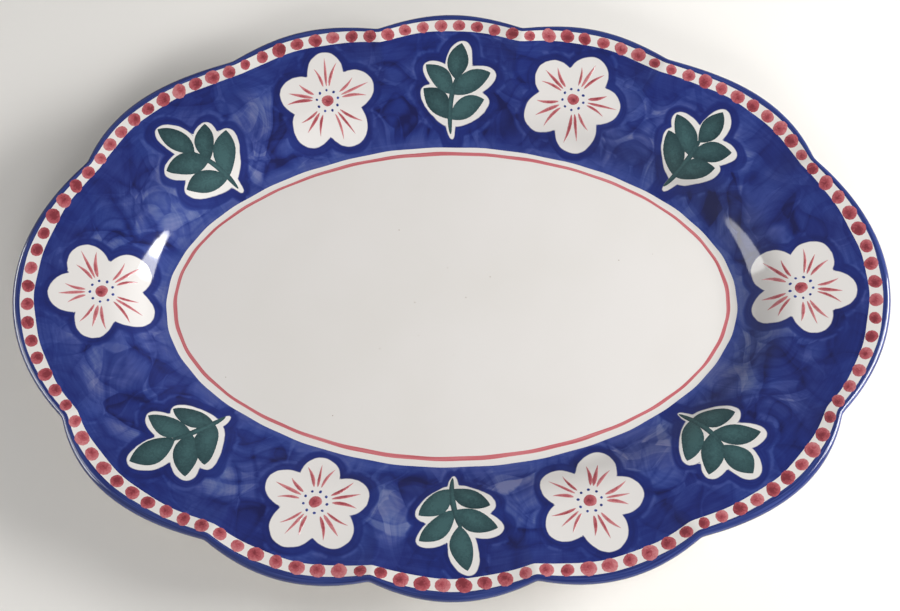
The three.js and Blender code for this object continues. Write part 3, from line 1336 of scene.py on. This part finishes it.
@dataclass
class Painting:
    """The painter's plan of the rim: a blossom or a sprig in the middle of each lobe, by turns."""

    form: PlatterForm
    seed: int = 7
    rim_middle: float = 205 * MM
    sprig_root: float = 177 * MM
    sprig_lean: float = math.radians(9)
    blossom_sway: float = 0.4
    dab_radius: float = 245.9 * MM
    dab_gap: float = 11.4 * MM
    dab_length: float = 8.9 * MM
    dab_width: float = 7.9 * MM
    dab_jitter: float = 0.35 * MM
    dab_sway: float = 0.6
    dab_luck: Range = (0.86, 1.1)  # the shares between which a dab's size falls
    notch_dab: float = 0.88  # size of the dabs beside a notch, as a share of the others'
    path_steps: int = 60
    blossoms: list[Blossom] = field(init=False, default_factory=list)
    sprigs: list[Sprig] = field(init=False, default_factory=list)
    reserve: list[BrushMark] = field(init=False)
    veins: list[BrushMark] = field(init=False)
    eyes: list[BrushMark] = field(init=False)
    specks: list[BrushMark] = field(init=False)
    greens: list[BrushMark] = field(init=False)
    dabs: list[BrushMark] = field(init=False)

    def __post_init__(self) -> None:
        """Sets out the figures, then their marks."""
        luck = random.Random(self.seed)
        for index in range(len(self.form.notches)):
            inner = self.in_middle(self.sprig_root, index)
            middle = self.in_middle(self.rim_middle, index)
            way = math.atan2(middle.y - inner.y, middle.x - inner.x)
            if index % 2:
                sway = luck.uniform(-self.blossom_sway, self.blossom_sway)
                self.blossoms.append(Blossom(middle, way + sway, luck))
            else:
                hand = 1 if index % 4 else -1
                self.sprigs.append(Sprig(inner, way - hand * self.sprig_lean, hand, luck))
        self.reserve = [mark for figure in (*self.blossoms, *self.sprigs) for mark in figure.reserve()]
        self.veins = [mark for blossom in self.blossoms for mark in blossom.veins()]
        self.eyes = [blossom.eye_mark() for blossom in self.blossoms]
        self.specks = [mark for blossom in self.blossoms for mark in blossom.speck_marks()]
        self.greens = [mark for sprig in self.sprigs for mark in (sprig.stem, *sprig.leaves)]
        self.dabs = self.border_dabs(luck)

    def plan(self, radius: float, ring: Meridians) -> np.ndarray:
        """Returns the plan points of a radius of the section at some meridians."""
        flat = np.zeros_like(ring.angle)
        return self.form.press(flat + radius, flat, ring)[:, :2]

    def in_middle(self, radius: float, index: int) -> Vector:
        """Returns the plan point of a radius of the section in the middle of a lobe."""
        return Vector(self.plan(radius, self.form.in_lobe(index, np.array([0.5])))[0])

    def border_dabs(self, luck: random.Random) -> list[BrushMark]:
        """Sets out the dabs of the border, evenly along each lobe and smaller by the notches.

        Args:
            luck: what makes the dabs uneven.

        Returns:
            The dabs, in order round the platter.
        """
        dabs = []
        shares = np.linspace(0, 1, self.path_steps + 1)
        for index in range(len(self.form.notches)):
            path = self.plan(self.dab_radius, self.form.in_lobe(index, shares))
            walked = np.concatenate([[0.0], np.cumsum(np.linalg.norm(np.diff(path, axis=0), axis=1))])
            count = round(walked[-1] / self.dab_gap)
            stops = np.interp((np.arange(count) + 0.5) / count * walked[-1], walked, shares)
            for step, here in enumerate(self.plan(self.dab_radius, self.form.in_lobe(index, stops))):
                size = luck.uniform(*self.dab_luck)
                size *= self.notch_dab if step in (0, count - 1) else 1
                jitter = polar(luck.uniform(0, self.dab_jitter), luck.uniform(0, math.tau))
                along = math.atan2(here[1], here[0]) + math.pi / 2
                dabs.append(
                    BrushMark(
                        Vector(here) + jitter,
                        self.dab_length * size,
                        self.dab_width * size,
                        along + luck.uniform(-self.dab_sway, self.dab_sway),
                        shade=luck.random(),
                    )
                )
        return dabs

    def distances(self, points: np.ndarray) -> np.ndarray:
        """Returns how far plan points lie outside the nearest white figure, in metres."""
        return np.min([mark.distance(points) for mark in self.reserve], axis=0)


@dataclass
class GlazeCoats:
    """The thin glaze over the clay, a closed shell for each of its colours."""

    form: PlatterForm
    palette: Palette
    painting: Painting
    hidden_rings: int = 4  # the coats' inner sides lie on the clay, so every fourth ring is enough
    bake_rows: int = 4
    shown_strip: Range = (0.03, 0.87)  # of a row of the baked map
    hidden_strip: Range = (0.91, 0.97)
    strip_end: float = 0.01
    surfaces: list[BVHTree] = field(init=False, default_factory=list)

    def build_coat(self, zone: Zone, material: Material) -> None:
        """Adds the coat of one field.

        Args:
            zone: the field.
            material: its finish.
        """
        outer = self.form.fields[zone]
        inner = [point.sunk(self.form.glaze) for point in thinned(outer, self.hidden_rings)]
        mesh = self.form.turned(outer + inner[::-1])
        if zone is Zone.GROUND:
            layer = mesh.verts.layers.float.new(RESERVE)
            points = np.array([vert.co.to_2d() for vert in mesh.verts])
            for vert, distance in zip(mesh.verts, self.painting.distances(points) / MM):
                vert[layer] = distance
            self.lay_flat(mesh)
        self.surfaces.append(BVHTree.FromBMesh(mesh))
        add_piece(mesh, zone.value + "_coat", material, [zone.value])

    def lay_flat(self, mesh: BMesh) -> None:
        """Lays a ring of glaze flat in rows, a part of the way round in each, so that it is baked sharply.

        Args:
            mesh: the ring, whose hidden side gets a narrow strip of each row.
        """
        across = mesh.verts.layers.float[ACROSS]
        flat = mesh.loops.layers.uv.new(BAKE_MAP)
        width = max(vert[across] for vert in mesh.verts)
        rows = self.bake_rows
        mesh.normal_update()
        for face in mesh.faces:
            row = int(self.form.turn(face.calc_center_median()) * rows)
            low, high = self.shown_strip if face.normal.z > 0 else self.hidden_strip
            for loop in face.loops:
                ahead = self.form.turn(loop.vert.co) * rows - row
                along = (ahead + rows / 2) % rows - rows / 2
                up = low + (high - low) * loop.vert[across] / width
                loop[flat].uv = (self.strip_end + (1 - 2 * self.strip_end) * along, (row + up) / rows)

    def build(self) -> None:
        """Adds every coat."""
        for zone in (Zone.WELL, Zone.MARGIN, Zone.BORDER, Zone.BACK, Zone.BASE):
            self.build_coat(zone, self.palette.white)
        self.build_coat(Zone.LINE, self.palette.line)
        self.build_coat(Zone.GROUND, self.palette.ground)
        self.build_coat(Zone.LIP, self.palette.lip)

    def height(self, place: Vector) -> float:
        """Finds the top of the glaze.

        Args:
            place: a plan point.

        Returns:
            The height of the glaze there.
        """
        above = Vector((place.x, place.y, 1))
        hits = [surface.ray_cast(above, Vector((0, 0, -1)))[0] for surface in self.surfaces]
        return max(hit.z for hit in hits if hit is not None)


@dataclass
class PaintedMarks:
    """The single touches of the brush, each a lens of colour that stands a little proud of the glaze."""

    coats: GlazeCoats
    palette: Palette
    painting: Painting
    seed: int = 11
    proud: float = 0.12 * MM
    uneven: float = 0.05
    dab_steps: int = 12  # faces round a mark, more for long marks on the bent rim
    vein_steps: int = 16
    eye_steps: int = 16
    speck_steps: int = 8
    leaf_steps: int = 32

    def lens(self, steps: int) -> bpy.types.Mesh:
        """Makes the ball that every mark of a kind is flattened from, with its own map.

        Args:
            steps: how many faces lie round it.

        Returns:
            The ball, of radius 1.
        """
        mesh = bmesh.new()
        bmesh.ops.create_uvsphere(mesh, u_segments=steps, v_segments=steps // 2, radius=1)
        own_map = mesh.loops.layers.uv.new(MARK_MAP)
        for face in mesh.faces:
            for loop in face.loops:
                loop[own_map].uv = loop.vert.co.to_2d() / 2 + Vector((0.5, 0.5))
        data = bpy.data.meshes.new("brush_lens")
        mesh.to_mesh(data)
        mesh.free()
        return data

    def build_marks(
        self, name: str, marks: Sequence[BrushMark], steps: int, material: Material
    ) -> None:
        """Adds one piece with all the marks of a kind.

        Args:
            name: the piece's name.
            marks: where the marks lie.
            steps: how many faces lie round each.
            material: their finish.
        """
        luck = random.Random(self.seed)
        lens = self.lens(steps)
        mesh = bmesh.new()
        for _ in marks:
            mesh.from_mesh(lens)
        shade = mesh.verts.layers.float.new(SHADE)
        verts = list(mesh.verts)
        for index, mark in enumerate(marks):
            phases = [luck.uniform(0, math.tau) for _ in range(2)]
            for vert in verts[index * len(lens.vertices) : (index + 1) * len(lens.vertices)]:
                along, across, up = vert.co
                turn = math.atan2(across, along)
                waves = math.sin(2 * turn + phases[0]) + math.sin(3 * turn + phases[1])
                place = mark.place(max(-1, min(1, along)), across * (1 + self.uneven * waves))
                vert[shade] = mark.shade
                vert.co = (*place, self.coats.height(place) + up * self.proud)
        bpy.data.meshes.remove(lens)
        add_piece(mesh, name, material, crease=MARK_CREASE)

    def build(self) -> None:
        """Adds the marks of each kind."""
        painting, palette = self.painting, self.palette
        self.build_marks("border_dabs", painting.dabs, self.dab_steps, palette.red)
        self.build_marks("petal_veins", painting.veins, self.vein_steps, palette.red)
        self.build_marks("blossom_eyes", painting.eyes, self.eye_steps, palette.red)
        self.build_marks("blossom_specks", painting.specks, self.speck_steps, palette.blue)
        self.build_marks("sprig_leaves", painting.greens, self.leaf_steps, palette.green)


@dataclass(frozen=True)
class Softbox:
    """A studio light that faces the platter, its sides and distance in metres, its power in watts."""

    name: str
    width: float
    height: float
    distance: float
    azimuth: float
    elevation: float
    power: float
    shades: bool = True  # False for a card that only gleams in the glaze
    gleams: bool = True  # False for a light that the glaze doesn't mirror

    def build(self) -> None:
        """Adds the light."""
        lamp = bpy.data.lights.new(self.name, "AREA")
        lamp.shape = "RECTANGLE"
        lamp.size = self.width
        lamp.size_y = self.height
        lamp.energy = self.power
        light = bpy.data.objects.new(self.name, lamp)
        bpy.context.scene.collection.objects.link(light)
        level = polar(math.cos(self.elevation), self.azimuth)
        way = Vector((level.x, level.y, math.sin(self.elevation)))
        light.visible_diffuse = self.shades
        light.visible_glossy = self.gleams
        light.location = way * self.distance
        light.rotation_euler = way.to_track_quat("Z", "Y").to_euler()


@dataclass
class Studio:
    """The paper floor, the pale surround, a window and a softbox, four cards that gleam, and the camera."""

    palette: Palette
    floor_side: float = 24.0
    surround: tuple[Range, ...] = (  # how far from left to right, and how bright
        (0.0, 0.5),
        (0.3, 0.36),
        (0.5, 0.21),
        (0.7, 0.28),
        (1.0, 0.4),
    )
    camera_place: Vector = field(default_factory=lambda: Vector((-0.93, -326.0, 809.9)) * MM)
    camera_tilt: float = math.radians(22)
    camera_roll: float = math.radians(-0.304)
    lens_mm: float = 57.8
    sensor_mm: float = 36.0
    lights: tuple[Softbox, ...] = (
        Softbox("key_window", 0.8, 0.44, 1.45, math.radians(4), math.radians(26), 26.0),
        Softbox("front_softbox", 1.0, 0.6, 2.2, math.radians(-90), math.radians(38), 15.0, gleams=False),
        Softbox("gleam_panel", 0.4, 0.22, 1.33, math.radians(8), math.radians(45), 3.0, shades=False),
        Softbox("gleam_core", 0.26, 0.13, 1.3, math.radians(-4), math.radians(46), 2.6, shades=False),
        Softbox("left_gleam", 0.54, 0.29, 1.2, math.radians(180), math.radians(45), 2.6, shades=False),
        Softbox("lip_gleam", 1.15, 0.42, 1.2, math.radians(178), math.radians(18), 15.0, shades=False),
    )

    def build_floor(self) -> None:
        """Adds the paper that the platter stands on."""
        mesh = bmesh.new()
        bmesh.ops.create_grid(mesh, x_segments=1, y_segments=1, size=self.floor_side / 2)
        data = bpy.data.meshes.new("paper_floor")
        mesh.to_mesh(data)
        mesh.free()
        data.materials.append(self.palette.floor)
        floor = bpy.data.objects.new("paper_floor", data)
        bpy.context.scene.collection.objects.link(floor)

    def build_world(self) -> None:
        """Sets a pale surround: brightest on the left, dim in the middle and fairly bright on the right."""
        world = bpy.data.worlds.new("pale_room")
        world.use_nodes = True
        tree = world.node_tree
        towards = add_node(tree, "SeparateXYZ", {0: add_node(tree, "TexCoord", out="Generated")}, out="X")
        right = add_node(tree, "MapRange", {"Value": towards, "From Min": -1.0, "From Max": 1.0})
        stops = [(place, (bright, bright, bright, 1)) for place, bright in self.surround]
        room = add_node(tree, "ValToRGB", {"Fac": right}, stops=stops)
        tree.links.new(room, tree.nodes["Background"].inputs["Color"])
        bpy.context.scene.world = world

    def build_camera(self) -> None:
        """Adds the camera at the photograph's place."""
        data = bpy.data.cameras.new("camera")
        data.lens = self.lens_mm
        data.sensor_width = self.sensor_mm
        camera = bpy.data.objects.new("camera", data)
        bpy.context.scene.collection.objects.link(camera)
        tilt = Matrix.Rotation(self.camera_tilt, 4, "X")
        roll = Matrix.Rotation(self.camera_roll, 4, "Z")
        camera.matrix_world = Matrix.Translation(self.camera_place) @ tilt @ roll
        bpy.context.scene.camera = camera

    def build(self) -> None:
        """Adds the stage, the lights and the camera."""
        self.build_floor()
        self.build_world()
        self.build_camera()
        for light in self.lights:
            light.build()
        bpy.context.scene.view_settings.view_transform = "Standard"


def main() -> None:
    """Builds the platter and its studio."""
    logging.basicConfig(level=logging.INFO, format="%(name)s: %(message)s")
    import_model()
    palette = Palette()
    form = PlatterForm()
    painting = Painting(form)
    ClayBody(form, palette).build()
    coats = GlazeCoats(form, palette, painting)
    coats.build()
    PaintedMarks(coats, palette, painting).build()
    Studio(palette).build()


if __name__ == "__main__":
    main()
